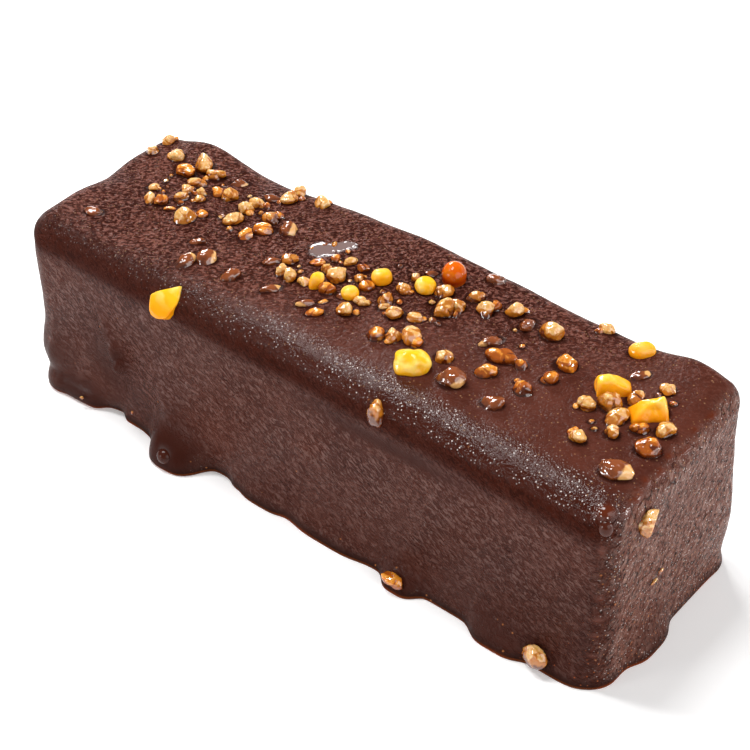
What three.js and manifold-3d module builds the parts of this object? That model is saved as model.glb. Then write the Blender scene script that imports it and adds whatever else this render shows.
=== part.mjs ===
// A glazed carrot cake bar, uncut, lying on its flat underside. Dark chocolate glaze covers it all
// over, so the inside never shows and the bar is one solid: a long block with softly rounded edges,
// whose sides run out into thick feet where the warm glaze pooled. A run of glaze and its beads, and
// the chopped nuts and candied fruit that are set in the glaze, are fused to it.
//
// Millimetres, +Z up. X runs along the bar, the front faces -Y, and the origin is the middle of the
// underside.

import * as THREE from 'three';
import { mergeVertices } from 'three/addons/utils/BufferGeometryUtils.js';
import Module from 'manifold-3d';

// Driving dimensions of the bar.
const LEFT_END = -68;
const RIGHT_END = 65.8;
const WIDTH = 41;
const HEIGHT = 40.4;
const FRONT_EDGE = 5; // radius of the top edge in front, and of the upright corners
const BACK_EDGE = 3.4; // the glaze stands fuller along the back edge
const LIP = 0.5; // how far the underside draws in below the foot of the glaze
const LIP_HEIGHT = 0.8;
const FLARE = 0.9; // how far the glaze spreads all round where it meets the ground
const FLARE_HEIGHT = 4;
const SIDE_WAVE = 0.3; // unevenness of the sides
const TOP_WAVE = 0.22; // unevenness of the top

// How finely the block is divided along X, Y and Z, and how much closer together the divisions lie
// towards both ends of each direction.
const DIVISIONS = [38, 13, 11];
const CROWDING = [0.35, 0.4, 0.6];

const LENGTH = RIGHT_END - LEFT_END;
const HALF_WIDTH = WIDTH / 2;

// Feet of pooled glaze: centre on the bar's outline, half width along it, how far the foot stands
// out (a notch stands in), and how high up the side it starts.
const FEET = [
  { x: -66.5, y: -19, width: 5, reach: 1.0, height: 8 },
  { x: -59, y: -20.5, width: 7, reach: 0.6, height: 5 },
  { x: -49.5, y: -20.5, width: 3, reach: -1.8, height: 4 },
  { x: -44, y: -20.5, width: 5, reach: -0.5, height: 5 },
  { x: -30, y: -20.5, width: 6.2, reach: 4.6, height: 9 },
  { x: -20.5, y: -20.5, width: 3.5, reach: -1.2, height: 5 },
  { x: -9, y: -20.5, width: 5, reach: 1.0, height: 5 },
  { x: 7, y: -20.5, width: 8, reach: 1.1, height: 4 },
  { x: 24.5, y: -20.5, width: 4, reach: 2.6, height: 6 },
  { x: 45.5, y: -20.5, width: 5.5, reach: 2.5, height: 8 },
  { x: 56, y: -20.5, width: 6, reach: 0.9, height: 5 },
  { x: 65.8, y: -5.5, width: 5.5, reach: 1.9, height: 8 },
  { x: 62, y: 20.5, width: 6, reach: 0.3, height: 6 },
  { x: 48, y: 20.5, width: 6, reach: 0.8, height: 6 },
  { x: 29, y: 20.5, width: 7, reach: 2.8, height: 8 },
  { x: 3, y: 20.5, width: 6, reach: 0.9, height: 5 },
  { x: -23, y: 20.5, width: 8, reach: 4.4, height: 9 },
  { x: -49, y: 20.5, width: 6, reach: 1.1, height: 6 },
  { x: -68, y: 8, width: 6, reach: 0.4, height: 7 },
];

// Bulges part of the way up a side: centre, half width, half height, and how far they stand out.
const BULGES = [
  { x: 60, y: 20.5, z: 13, width: 11, height: 10, reach: 1.3 },
  { x: -66.5, y: -19, z: 7, width: 8, height: 4, reach: 0.9 },
  { x: -66.5, y: -19, z: 30, width: 8, height: 9, reach: 0.5 },
  { x: -45, y: -20.5, z: 10, width: 7, height: 9, reach: -0.8 },
  { x: 2.5, y: -20.5, z: 19.5, width: 3, height: 2.5, reach: 0.5 },
  { x: -36, y: 20.5, z: 16, width: 10, height: 6, reach: 0.7 },
];

// Places where the glaze lies thicker or thinner on the top: centre, half width along X and Y, and
// height.
const SWELLS = [
  { x: 2, y: 17, along: 27, across: 9, height: 1.7 },
  { x: 1, y: 20, along: 9, across: 8, height: 0.7 },
  { x: 57, y: 19, along: 7.5, across: 8, height: 2.6 },
  { x: -36, y: 22, along: 13, across: 10, height: -1.4 },
  { x: -64, y: 21, along: 7, across: 8, height: -1.4 },
  { x: -14, y: 7, along: 6, across: 4, height: 0.4 },
];

// Runs and beads of glaze on the sides: centre, and half size along X, Y and Z.
const DROPS = [
  { at: [-46.3, -19.9, 17], half: [1.5, 1.6, 5], tilt: 8 },
  { at: [-47.4, -19.9, 12.6], half: [2.0, 2.1, 2.3], tilt: 0 },
  { at: [-33.4, -24.4, 2.6], half: [1.9, 1.7, 1.8], tilt: 0 },
  { at: [62.6, -18.2, 37.0], half: [1.4, 1.5, 1.5], tilt: 0 },
  { at: [-58.5, -21.6, 1.9], half: [5.0, 1.5, 1.7], tilt: 0 },
  { at: [22.5, 22.6, 2.5], half: [2.4, 1.6, 2.2], tilt: 0 },
  { at: [-12.5, 20.3, 14.5], half: [1.9, 1.8, 4.6], tilt: -6 },
];

// Balls of flat faces that the chopped pieces are made from, with 20 and 80 faces.
const twentyFaces = () => new THREE.IcosahedronGeometry(1, 0);
const eightyFaces = () => new THREE.IcosahedronGeometry(1, 1);

// The shapes that the pieces on the top take: the ball, the height as a share of the width, how
// uneven, and how far the middle lies above the glaze as a share of the height.
const KINDS = {
  nut: { ball: twentyFaces, tall: 0.92, uneven: 0.16, lift: 0.18 },
  sunk: { ball: twentyFaces, tall: 0.62, uneven: 0.1, lift: 0.06 },
  fruit: { ball: eightyFaces, tall: 0.84, uneven: 0.06, lift: 0.2 },
  egg: { ball: eightyFaces, tall: 1.15, uneven: 0.02, lift: 0.28 },
};

// The pieces, from the left end of the bar to the right. Each piece: x, y, length, width, and the
// turn of its length from the X axis in degrees.
const PIECES = {
  nut: [
    [-64, 15.5, 3.2, 2.4, 70], [-63.5, 10.5, 3, 2.4, -70], [-57.5, 11.5, 3.2, 2.8, 40],
    [-54, 1, 3, 1.8, 40], [-52.5, 8.5, 4.6, 3, 20], [-51.5, -2, 3.2, 2.2, -50],
    [-51, 12.5, 4.2, 3.6, -50], [-49.5, -1.5, 2.8, 2.6, 90], [-48, 7, 3.6, 2.4, 40],
    [-48, 4.5, 2.8, 2, 60], [-47, 11.5, 3.8, 2.8, 20], [-47, 2, 3, 2, 60], [-46.5, -2, 2.2, 1.2, 40],
    [-45.5, 5.5, 2.4, 1.8, 10], [-44, 3.5, 2.8, 1.8, 40], [-43, 7.5, 2.4, 2.2, 0],
    [-42, -2.5, 4, 3.8, -80], [-40.5, 8, 3.2, 3, -10], [-40.5, 0.5, 2.6, 1.8, 40],
    [-35, 6.5, 2.8, 2.8, 80], [-34.5, 9.5, 3.2, 2.6, 0], [-34.5, 2.5, 4, 2.4, 60],
    [-31, 17.5, 3, 2.6, 40], [-30.5, 14, 3.6, 2.6, 40], [-29.5, 0.5, 3.4, 2.4, 70],
    [-29, 7, 3.6, 2.8, 20], [-27.5, 4, 4.2, 2.6, 40], [-24.5, 17, 3.2, 3, -50],
    [-17.5, -0.5, 2.8, 2.4, 40], [-16.5, -4, 2.4, 2.2, -50], [-14, -4.5, 2.8, 2.8, 80],
    [-13, 2, 2.8, 1.6, 40], [-11, -4, 2.4, 2, 40], [-11, 5, 2.2, 1.8, 80], [-10.5, 1.5, 2.2, 2.2, 70],
    [-8.5, 5.5, 3, 1.8, 60], [-7.5, 1, 3.8, 3.2, -70], [-6.5, -3, 2.8, 2.6, 60], [-5, 5.5, 2.6, 2, 20],
    [-5, -6, 1.8, 0.8, 60], [-4, 3, 2.2, 2, -50], [-4, -9.5, 3.2, 1.6, 50], [-1.5, 2, 2.6, 2.4, 20],
    [0, -5.5, 3.2, 3, 30], [0.5, -2, 2.8, 1.8, 20], [3.5, 1, 3, 2.8, -50], [4.5, 5, 2.6, 2.4, -20],
    [4.5, 8.5, 2.2, 2, -50], [4.5, -0.5, 2.4, 1.4, 40], [7.5, -1, 3.4, 2.4, 60], [8.5, -7, 3.4, 3, 70],
    [10.5, 0, 3, 2, 20], [11, 8.5, 3.6, 2.8, 60], [11, -6, 2.8, 2.6, -70], [13.5, 4.5, 4.4, 3.8, 70],
    [13.5, -4.5, 4, 3.6, 20], [15, 7, 2.8, 2.6, 0], [16, 10.5, 3.4, 2.4, 40],
    [19.5, 9.5, 3.6, 3.2, 40], [21, -5, 3.2, 3, 40], [24, 12, 3.6, 3, 40], [29, 1, 5.2, 3.2, 20],
    [29, -3.5, 3.8, 2.8, 40], [32, 11, 4, 3.8, 40], [32.5, 1.5, 2.4, 2.2, 10], [36.5, -3.5, 3, 3, 0],
    [38.5, 6, 4.4, 3.8, 40], [38.5, 1, 3, 2.6, 40], [39, 18.5, 3.2, 2.4, 0], [47, -0.5, 3, 2.6, 40],
    [50, 2, 4, 4, 40], [50.5, -8, 3, 2.8, -60], [52.5, 5.5, 3.2, 3.2, -20], [52.5, 0, 4.2, 2.8, 70],
    [54, -3.5, 2.6, 2.4, 40], [56, 10, 2.6, 2.2, 40], [57, 0, 3, 2.4, 40], [60.5, 2, 3.6, 3.2, 60],
    [60.5, -3, 4.6, 3.6, 40],
  ],
  sunk: [
    [-57, -11.5, 3.8, 2, 40], [-42, 13, 3.8, 2.2, 40], [-37, 2.5, 1.8, 1, 40], [-35, -6.5, 3, 2, 40],
    [-33.5, 12.5, 3.4, 2, 40], [-32, -12.5, 4.2, 2.8, 60], [-29.5, -9.5, 3.8, 3.2, 20],
    [-24, 6.5, 3.2, 3.2, 40], [-23, -10.5, 3.4, 2.8, 70], [-20, -2.5, 4, 1.8, 60],
    [-14.5, -9, 4, 1.8, 60], [-7, -8.5, 3.2, 2, 50], [-3.5, -3, 1.4, 1.4, 40], [6.5, 11, 2.8, 1.4, 40],
    [16, 16.5, 3.2, 2.2, 40], [25, 3.5, 4.2, 2.2, 60], [26, -9.5, 4.8, 4.4, 10],
    [27.5, 10.5, 3.8, 2.4, 80], [34.5, -9.5, 3.8, 2.8, 20], [50, 11, 3.4, 2, 40],
    [59.5, -11, 5.4, 4, 20],
  ],
  fruit: [
    [-9, -3, 3.2, 2.6, -70], [-2.5, -1.5, 3, 2.8, 40], [-0.5, 5, 3.6, 3.4, 40],
    [7.5, 7.5, 3.6, 3.6, 90], [18.5, -10, 5.8, 5, 70], [47, 16.5, 4.6, 3.2, 40],
    [48, 5.5, 5.6, 4.6, -10], [56.5, 4.5, 5.6, 4.6, 60],
  ],
  egg: [
    [10, 12.5, 4.6, 4, -50],
  ],
};

// Pieces that stuck to the edges and sides of the bar: middle, half sizes, turn about Y in degrees.
const SIDE_PIECES = [
  { at: [-30.2, -18.6, 37.2], half: [4.2, 2.4, 3.2], tilt: -24 },
  { at: [18.7, -20.2, 37.6], half: [1.9, 1.9, 3.0], tilt: -18 },
  { at: [24.3, -23.2, 2.6], half: [2.6, 2.0, 1.9], tilt: 12 },
  { at: [54.2, -21.8, 3.4], half: [3.0, 1.9, 2.6], tilt: -30 },
  { at: [66.0, -10.5, 33.6], half: [1.6, 2.6, 2.6], tilt: 0 },
  { at: [-11, 21.3, 35.5], half: [2.2, 1.6, 2.4], tilt: 20 },
];

const SIDE_UNEVEN = 0.1;

const clamp = THREE.MathUtils.clamp;
const radians = THREE.MathUtils.degToRad;

// A seeded draw from 0 to 1, so that every run gives the same bar.
function drawsFrom(seed) {
  let state = seed;
  return () => {
    state = (Math.imul(state, 1664525) + 1013904223) >>> 0;
    return state / 4294967296;
  };
}

// A smooth hump: 1 in the middle, nearly flat there, and 0 beyond about 1.5 times its half width.
function hump(distance, halfWidth) {
  return Math.exp(-((distance / halfWidth) ** 4));
}

// A softer hump for wide, low forms.
function swellShape(distance) {
  return Math.exp(-distance * distance);
}

// How far a side stands out beyond the plain block at a point on it.
function sideRelief(x, y, z) {
  let out = FLARE * (1 - clamp(z / FLARE_HEIGHT, 0, 1)) ** 2 - LIP * (1 - clamp(z / LIP_HEIGHT, 0, 1));
  for (const foot of FEET) {
    const rise = clamp(z / foot.height, 0, 1);
    const fall = (1 - rise * rise) ** 2;
    out += foot.reach * fall * hump(Math.hypot(x - foot.x, y - foot.y), foot.width);
  }
  for (const bulge of BULGES) {
    const around = Math.hypot(x - bulge.x, y - bulge.y) / bulge.width;
    const up = (z - bulge.z) / bulge.height;
    out += bulge.reach * swellShape(Math.hypot(around, up));
  }
  const wave = Math.sin(x * 0.21 + z * 0.13) + Math.sin(x * 0.094 - z * 0.17 + y * 0.2 + 1.3);
  return out + SIDE_WAVE * wave * 0.5 * Math.min(z / 6, 1);
}

// How far the top stands above the plain block.
function topRelief(x, y) {
  let up = 0;
  for (const swell of SWELLS) {
    up += swell.height * swellShape(Math.hypot((x - swell.x) / swell.along, (y - swell.y) / swell.across));
  }
  return up + TOP_WAVE * Math.sin(x * 0.17 + 0.6) * Math.sin(y * 0.2 + x * 0.05);
}

// The radius of the edges, which grows smaller from the front to the back.
function edgeRadius(y) {
  return THREE.MathUtils.mapLinear(clamp(y, 0, HALF_WIDTH), 0, HALF_WIDTH, FRONT_EDGE, BACK_EDGE);
}

// Carries a point of the plain block's surface to the glazed bar's.
function onBar(point) {
  const radius = edgeRadius(point.y);
  const core = new THREE.Vector3(
    clamp(point.x, LEFT_END + radius, RIGHT_END - radius),
    clamp(point.y, radius - HALF_WIDTH, HALF_WIDTH - radius),
    Math.min(point.z, HEIGHT - radius),
  );
  const arm = point.clone().sub(core);
  const reach = Math.max(Math.abs(arm.x), Math.abs(arm.y), arm.z);
  const outwards = new THREE.Vector2(arm.x, arm.y);
  const nearness = Math.max(Math.abs(arm.x), Math.abs(arm.y)) / radius;
  const placed = reach > 0 ? core.add(arm.setLength(reach)) : core;
  if (nearness > 0) {
    outwards.setLength(nearness * sideRelief(placed.x, placed.y, point.z));
  }
  placed.x += outwards.x;
  placed.y += outwards.y;
  placed.z += topRelief(placed.x, placed.y) * (point.z / HEIGHT) ** 2;
  return placed;
}

// Moves a division of a side from 0 to 1 closer to the nearer end of that side.
function crowd(share, amount) {
  return share - (amount * Math.sin(2 * Math.PI * share)) / (2 * Math.PI);
}

function glazedBar() {
  const geometry = new THREE.BoxGeometry(1, 1, 1, ...DIVISIONS);
  const position = geometry.attributes.position;
  const point = new THREE.Vector3();
  for (let i = 0; i < position.count; i++) {
    point.fromBufferAttribute(position, i).addScalar(0.5);
    point.set(
      LEFT_END + crowd(point.x, CROWDING[0]) * LENGTH,
      (crowd(point.y, CROWDING[1]) - 0.5) * WIDTH,
      crowd(point.z, CROWDING[2]) * HEIGHT,
    );
    position.setXYZ(i, ...onBar(point));
  }
  return geometry;
}

// The height of the top of the bar, with its edges rounded down.
function topHeight(x, y) {
  const radius = edgeRadius(y);
  const over = Math.max(
    LEFT_END + radius - x,
    x - RIGHT_END + radius,
    Math.abs(y) - HALF_WIDTH + radius,
    0,
  );
  const drop = radius - Math.sqrt(Math.max(radius * radius - over * over, 0));
  return HEIGHT - drop + topRelief(x, y);
}

// One chopped piece: a ball of a few flat faces, pushed in and out at its corners.
function choppedPiece(ball, half, uneven, draw) {
  const geometry = closed(ball());
  const position = geometry.attributes.position;
  for (let i = 0; i < position.count; i++) {
    const push = 1 + uneven * (2 * draw() - 1);
    position.setXYZ(
      i,
      position.getX(i) * half[0] * push,
      position.getY(i) * half[1] * push,
      position.getZ(i) * half[2] * push,
    );
  }
  return geometry;
}

// A geometry with only its places left and its shared corners joined.
function closed(geometry) {
  geometry.deleteAttribute('normal');
  geometry.deleteAttribute('uv');
  return mergeVertices(geometry, 1e-4);
}

// One piece on the top, pressed into the glaze.
function topPieceGeometry(kind, [x, y, length, width, turn], draw) {
  const { ball, tall, uneven, lift } = KINDS[kind];
  const half = [length / 2, width / 2, (tall * width) / 2];
  const geometry = choppedPiece(ball, half, uneven, draw);
  geometry.rotateX(0.4 * (draw() - 0.5));
  geometry.rotateZ(radians(turn));
  geometry.translate(x, y, topHeight(x, y) + lift * tall * width);
  return geometry;
}

function topPieceGeometries(draw) {
  return Object.entries(PIECES).flatMap(([kind, rows]) =>
    rows.map((row) => topPieceGeometry(kind, row, draw)),
  );
}

function sidePieceGeometry({ at, half, tilt }, draw) {
  const geometry = choppedPiece(eightyFaces, half, SIDE_UNEVEN, draw);
  geometry.rotateY(radians(tilt));
  geometry.translate(...at);
  return geometry;
}

function dropGeometry({ at, half, tilt }) {
  const geometry = closed(new THREE.SphereGeometry(1, 8, 6));
  geometry.scale(...half);
  geometry.rotateY(radians(tilt));
  geometry.translate(...at);
  return geometry;
}

const wasm = await Module();
wasm.setup();

function solidFrom(geometry) {
  return new wasm.Manifold(new wasm.Mesh({
    numProp: 3,
    vertProperties: new Float32Array(geometry.attributes.position.array),
    triVerts: new Uint32Array(geometry.index.array),
  }));
}

// The bar with everything on it joined. Sealed hollows and loose scraps are separate shells of the
// result, so only the largest shell is kept.
function fuse(geometries) {
  let whole = solidFrom(geometries[0]);
  for (const geometry of geometries.slice(1)) {
    whole = whole.add(solidFrom(geometry));
  }
  const shells = whole.decompose();
  const largest = shells.reduce((best, shell) => (shell.volume() > best.volume() ? shell : best));
  const mesh = largest.getMesh();
  const geometry = new THREE.BufferGeometry();
  geometry.setAttribute('position', new THREE.BufferAttribute(mesh.vertProperties, mesh.numProp));
  geometry.setIndex(new THREE.BufferAttribute(mesh.triVerts, 1));
  geometry.computeVertexNormals();
  return geometry;
}

const draw = drawsFrom(20);
const glaze = new THREE.MeshStandardMaterial({ color: 0x4a2420, roughness: 0.38, metalness: 0 });
const bar = new THREE.Mesh(
  fuse([
    closed(glazedBar()),
    ...DROPS.map(dropGeometry),
    ...topPieceGeometries(draw),
    ...SIDE_PIECES.map((piece) => sidePieceGeometry(piece, draw)),
  ]),
  glaze,
);
bar.name = 'glazed_cake_bar';

const group = new THREE.Group();
group.add(bar);

export default group;
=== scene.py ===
import math

import bmesh
import bpy
import numpy as np
from mathutils import Euler, Matrix, Vector, noise


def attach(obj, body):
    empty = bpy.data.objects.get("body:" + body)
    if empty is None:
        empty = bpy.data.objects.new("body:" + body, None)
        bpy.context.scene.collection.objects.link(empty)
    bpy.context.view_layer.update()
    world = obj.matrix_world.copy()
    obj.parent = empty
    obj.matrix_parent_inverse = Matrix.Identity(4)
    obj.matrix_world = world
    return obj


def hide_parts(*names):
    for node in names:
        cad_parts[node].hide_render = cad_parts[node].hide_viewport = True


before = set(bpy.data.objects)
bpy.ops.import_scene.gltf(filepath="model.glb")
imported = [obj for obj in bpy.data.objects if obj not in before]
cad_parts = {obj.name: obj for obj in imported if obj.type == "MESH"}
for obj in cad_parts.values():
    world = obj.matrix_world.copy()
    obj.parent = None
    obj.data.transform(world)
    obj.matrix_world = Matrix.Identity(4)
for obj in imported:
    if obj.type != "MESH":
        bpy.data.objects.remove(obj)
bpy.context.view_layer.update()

# ------------------------
# The bar: a long block of carrot cake that was dipped in warm dark chocolate glaze. Its edges are
# rounded by the glaze, and its sides run out into thick feet where the glaze pooled and set.
# ------------------------

# Sizes are in mm from here down to the studio.
LEFT_END, RIGHT_END, WIDTH, HEIGHT = -68.0, 65.8, 41.0, 40.4
LENGTH, HALF_WIDTH = RIGHT_END - LEFT_END, WIDTH / 2
FRONT_EDGE, BACK_EDGE = 5.0, 3.4  # radius of the rounded edges
LIP, LIP_HEIGHT = 0.5, 0.8  # the glaze draws in where it meets the table
FLARE, FLARE_HEIGHT = 0.9, 4.0  # and runs out just above
SIDE_WAVE, SIDE_WAVE_START, TOP_WAVE = 0.3, 6.0, 0.22

# Feet of pooled glaze: x, y, half width, how far the foot stands out, how high up it starts.
FEET = [
    (-66.5, -19, 5, 1, 8), (-59, -20.5, 7, 0.6, 5), (-49.5, -20.5, 3, -1.8, 4),
    (-44, -20.5, 5, -0.5, 5), (-30, -20.5, 6.2, 4.6, 9), (-20.5, -20.5, 3.5, -1.2, 5),
    (-9, -20.5, 5, 1, 5), (7, -20.5, 8, 1.1, 4), (24.5, -20.5, 4, 2.6, 6),
    (45.5, -20.5, 5.5, 2.5, 8), (56, -20.5, 6, 0.9, 5), (65.8, -5.5, 5.5, 1.9, 8),
    (62, 20.5, 6, 0.3, 6), (48, 20.5, 6, 0.8, 6), (29, 20.5, 7, 2.8, 8),
    (3, 20.5, 6, 0.9, 5), (-23, 20.5, 8, 4.4, 9), (-49, 20.5, 6, 1.1, 6),
    (-68, 8, 6, 0.4, 7),
]

# Bulges part of the way up a side: x, y, z, half width, half height, how far they stand out.
BULGES = [
    (60, 20.5, 13, 11, 10, 1.3), (-66.5, -19, 7, 8, 4, 0.9),
    (-66.5, -19, 30, 8, 9, 0.5), (-45, -20.5, 10, 7, 9, -0.8),
    (2.5, -20.5, 19.5, 3, 2.5, 0.5), (-36, 20.5, 16, 10, 6, 0.7),
]

# Where the glaze lies thicker or thinner on the top: x, y, half widths along X and Y, height.
SWELLS = [
    (2, 17, 27, 9, 1.7), (1, 20, 9, 8, 0.7), (57, 19, 7.5, 8, 2.6),
    (-36, 22, 13, 10, -1.4), (-64, 21, 7, 8, -1.9), (-14, 7, 6, 4, 0.4),
    (-56, 20.5, 8, 7, 2.0), (-67, 0.5, 6, 4.5, -0.9),
]


def side_relief(x, y, z):
    """How far a side stands out beyond the plain block, at points on it."""
    out = FLARE * (1 - np.clip(z / FLARE_HEIGHT, 0, 1)) ** 2
    out -= LIP * (1 - np.clip(z / LIP_HEIGHT, 0, 1))
    for at_x, at_y, width, reach, height in FEET:
        rise = np.clip(z / height, 0, 1)
        around = np.hypot(x - at_x, y - at_y) / width
        out += reach * (1 - rise * rise) ** 2 * np.exp(-(around**4))
    for at_x, at_y, at_z, width, height, reach in BULGES:
        around = np.hypot(x - at_x, y - at_y) / width
        out += reach * np.exp(-(around**2) - ((z - at_z) / height) ** 2)
    wave = np.sin(x * 0.21 + z * 0.13) + np.sin(x * 0.094 - z * 0.17 + y * 0.2 + 1.3)
    return out + SIDE_WAVE * wave * 0.5 * np.minimum(z / SIDE_WAVE_START, 1)


def top_relief(x, y):
    """How far the top stands above the plain block."""
    up = TOP_WAVE * np.sin(x * 0.17 + 0.6) * np.sin(y * 0.2 + x * 0.05)
    for at_x, at_y, along, across, height in SWELLS:
        up = up + height * np.exp(-(((x - at_x) / along) ** 2) - ((y - at_y) / across) ** 2)
    return up


def edge_radius(y):
    """The radius of the edges, which grows smaller from the middle to the back."""
    return FRONT_EDGE + (BACK_EDGE - FRONT_EDGE) * np.clip(y, 0, HALF_WIDTH) / HALF_WIDTH


def on_bar(block):
    """Carries points of the plain block's surface to the glazed bar's."""
    x, y, z = block.T
    radius = edge_radius(y)
    core_x = np.clip(x, LEFT_END + radius, RIGHT_END - radius)
    core_y = np.clip(y, radius - HALF_WIDTH, HALF_WIDTH - radius)
    core = np.stack([core_x, core_y, np.minimum(z, HEIGHT - radius)], 1)
    arm = block - core
    reach = np.abs(arm).max(1)
    length = np.maximum(np.linalg.norm(arm, axis=1), 1e-9)
    placed = core + arm * (reach / length)[:, None]
    flat = arm[:, :2] / np.maximum(np.linalg.norm(arm[:, :2], axis=1), 1e-9)[:, None]
    nearness = np.abs(arm[:, :2]).max(1) / radius
    out = nearness * side_relief(placed[:, 0], placed[:, 1], z)
    placed[:, :2] += flat * out[:, None]
    placed[:, 2] += top_relief(placed[:, 0], placed[:, 1]) * (z / HEIGHT) ** 2
    return placed


def top_height(x, y):
    """The height of the top of the bar, with its edges rounded down."""
    radius = float(edge_radius(np.array(y)))
    over = max(LEFT_END - x + radius, x - RIGHT_END + radius, abs(y) - HALF_WIDTH + radius, 0)
    drop = radius - math.sqrt(max(radius * radius - over * over, 0))
    return HEIGHT - drop + float(top_relief(np.array(float(x)), np.array(float(y))))


# ------------------------
# Where the chopped pieces lie on the top, as they fell in the soft glaze: each with the x and y of
# its middle, its length and width, and the turn of its length from the X axis in degrees.
# ------------------------

PIECES = {
    "tan": [
        (-64, 15.5, 3.2, 2.4, 70), (-63.5, 10.5, 3, 2.4, -70), (-57.5, 11.5, 3.2, 2.8, 40),
        (-54, 1, 3, 1.8, 40), (-51.5, -2, 3.2, 2.2, -50), (-51, 12.5, 4.2, 3.6, -50),
        (-48, 7, 3.6, 2.4, 40), (-48, 4.5, 2.8, 2, 60), (-47, 11.5, 3.8, 2.8, 20),
        (-47, 2, 3, 2, 60), (-45.5, 5.5, 2.4, 1.8, 10), (-44, 3.5, 2.8, 1.8, 40),
        (-42, -2.5, 4, 3.8, -80), (-40.5, 8, 3.2, 3, -10), (-35, 6.5, 2.8, 2.8, 80),
        (-34.5, 9.5, 3.2, 2.6, 0), (-34.5, 2.5, 4, 2.4, 60), (-31, 17.5, 3, 2.6, 40),
        (-30.5, 14, 3.6, 2.6, 40), (-29, 7, 3.6, 2.8, 20), (-24.5, 17, 3.2, 3, -50),
        (-17.5, -0.5, 2.8, 2.4, 40), (-16.5, -4, 2.4, 2.2, -50), (-14, -4.5, 2.8, 2.8, 80),
        (-11, -4, 2.4, 2, 40), (-10.5, 1.5, 2.2, 2.2, 70), (-8.5, 5.5, 3, 1.8, 60),
        (-7.5, 1, 3.8, 3.2, -70), (-4, 3, 2.2, 2, -50), (0, -5.5, 3.2, 3, 30),
        (0.5, -2, 2.8, 1.8, 20), (3.5, 1, 3, 2.8, -50), (4.5, 5, 2.6, 2.4, -20),
        (4.5, 8.5, 2.2, 2, -50), (4.5, -0.5, 2.4, 1.4, 40), (7.5, -1, 3.4, 2.4, 60),
        (10.5, 0, 3, 2, 20), (11, 8.5, 3.6, 2.8, 60), (11, -6, 2.8, 2.6, -70),
        (13.5, 4.5, 4.4, 3.8, 70), (13.5, -4.5, 4, 3.6, 20), (15, 7, 2.8, 2.6, 0),
        (16, 10.5, 3.4, 2.4, 40), (19.5, 9.5, 3.6, 3.2, 40), (21, -5, 3.2, 3, 40),
        (24, 12, 3.6, 3, 40), (32, 11, 4, 3.8, 40), (39, 18.5, 3.2, 2.4, 0),
        (47, -0.5, 3, 2.6, 40), (50, 2, 4, 4, 40), (50.5, -8, 3, 2.8, -60),
        (52.5, 5.5, 3.2, 3.2, -20), (52.5, 0, 4.2, 2.8, 70), (54, -3.5, 2.6, 2.4, 40),
        (56, 10, 2.6, 2.2, 40), (60.5, 2, 3.6, 3.2, 60),
    ],
    "amber": [
        (-52.5, 8.5, 4.6, 3, 20), (-49.5, -1.5, 2.8, 2.6, 90), (-46.5, -2, 2.2, 1.2, 40),
        (-43, 7.5, 2.4, 2.2, 0), (-40.5, 0.5, 2.6, 1.8, 40), (-29.5, 0.5, 3.4, 2.4, 70),
        (-27.5, 4, 4.2, 2.6, 40), (-13, 2, 2.8, 1.6, 40), (-11, 5, 2.2, 1.8, 80),
        (-6.5, -3, 2.8, 2.6, 60), (-5, 5.5, 2.6, 2, 20), (-5, -6, 1.8, 0.8, 60),
        (-4, -9.5, 3.2, 1.6, 50), (-1.5, 2, 2.6, 2.4, 20), (8.5, -7, 3.4, 3, 70),
        (29, 1, 5.2, 3.2, 20), (29, -3.5, 3.8, 2.8, 40), (32.5, 1.5, 2.4, 2.2, 10),
        (36.5, -3.5, 3, 3, 0), (38.5, 6, 4.4, 3.8, 40), (38.5, 1, 3, 2.6, 40), (57, 0, 3, 2.4, 40),
        (60.5, -3, 4.6, 3.6, 40),
    ],
    "covered": [
        (-57, -11.5, 3.8, 2, 40), (-42, 13, 3.8, 2.2, 40), (-37, 2.5, 1.8, 1, 40),
        (-35, -6.5, 3, 2, 40), (-33.5, 12.5, 3.4, 2, 40), (-32, -12.5, 4.2, 2.8, 60),
        (-29.5, -9.5, 3.8, 3.2, 20), (-24, 6.5, 3.2, 3.2, 40), (-23, -10.5, 3.4, 2.8, 70),
        (-20, -2.5, 4, 1.8, 60), (-14.5, -9, 4, 1.8, 60), (-7, -8.5, 3.2, 2, 50),
        (-3.5, -3, 1.4, 1.4, 40), (6.5, 11, 2.8, 1.4, 40), (16, 16.5, 3.2, 2.2, 40),
        (25, 3.5, 4.2, 2.2, 60), (26, -9.5, 4.8, 4.4, 10), (27.5, 10.5, 3.8, 2.4, 80),
        (34.5, -9.5, 3.8, 2.8, 20), (50, 11, 3.4, 2, 40), (59.5, -11, 5.4, 4, 20),
    ],
    "yellow": [
        (-9, -3, 2.6, 2.6, 0), (-2.5, -1.5, 3.2, 3.2, 0), (-0.5, 5, 3.7, 3.3, 40),
        (7.5, 7.5, 3.8, 3.4, 40), (18.5, -10, 6.0, 4.6, 60), (47, 16.5, 4.8, 3.0, 40),
        (48, 5.5, 5.6, 4, 40), (56.5, 4.5, 6, 4, 40),
    ],
    "orange": [(10, 12.5, 4.1, 3.8, -50)],
}

# Patches of crumbs between the pieces: x, y, half size along X and Y, count.
PATCHES = [
    (-47, 5, 8, 7, 5), (-30, 9, 8, 8, 3), (-12, 1, 8, 7, 7), (3, 3, 9, 8, 5),
    (18, 6, 9, 8, 3), (31, 2, 9, 7, 2), (54, 3, 8, 8, 4),
]
CRUMB_LENGTH, CRUMB_WIDTH = (0.8, 1.4), 0.75  # the width is a share of the length
CRUMB_GAP = 0.42  # nearest middles, as a share of both lengths
CRUMB_TRIES = 80  # places tried in a patch
CRUMB_SEED = 77


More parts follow.
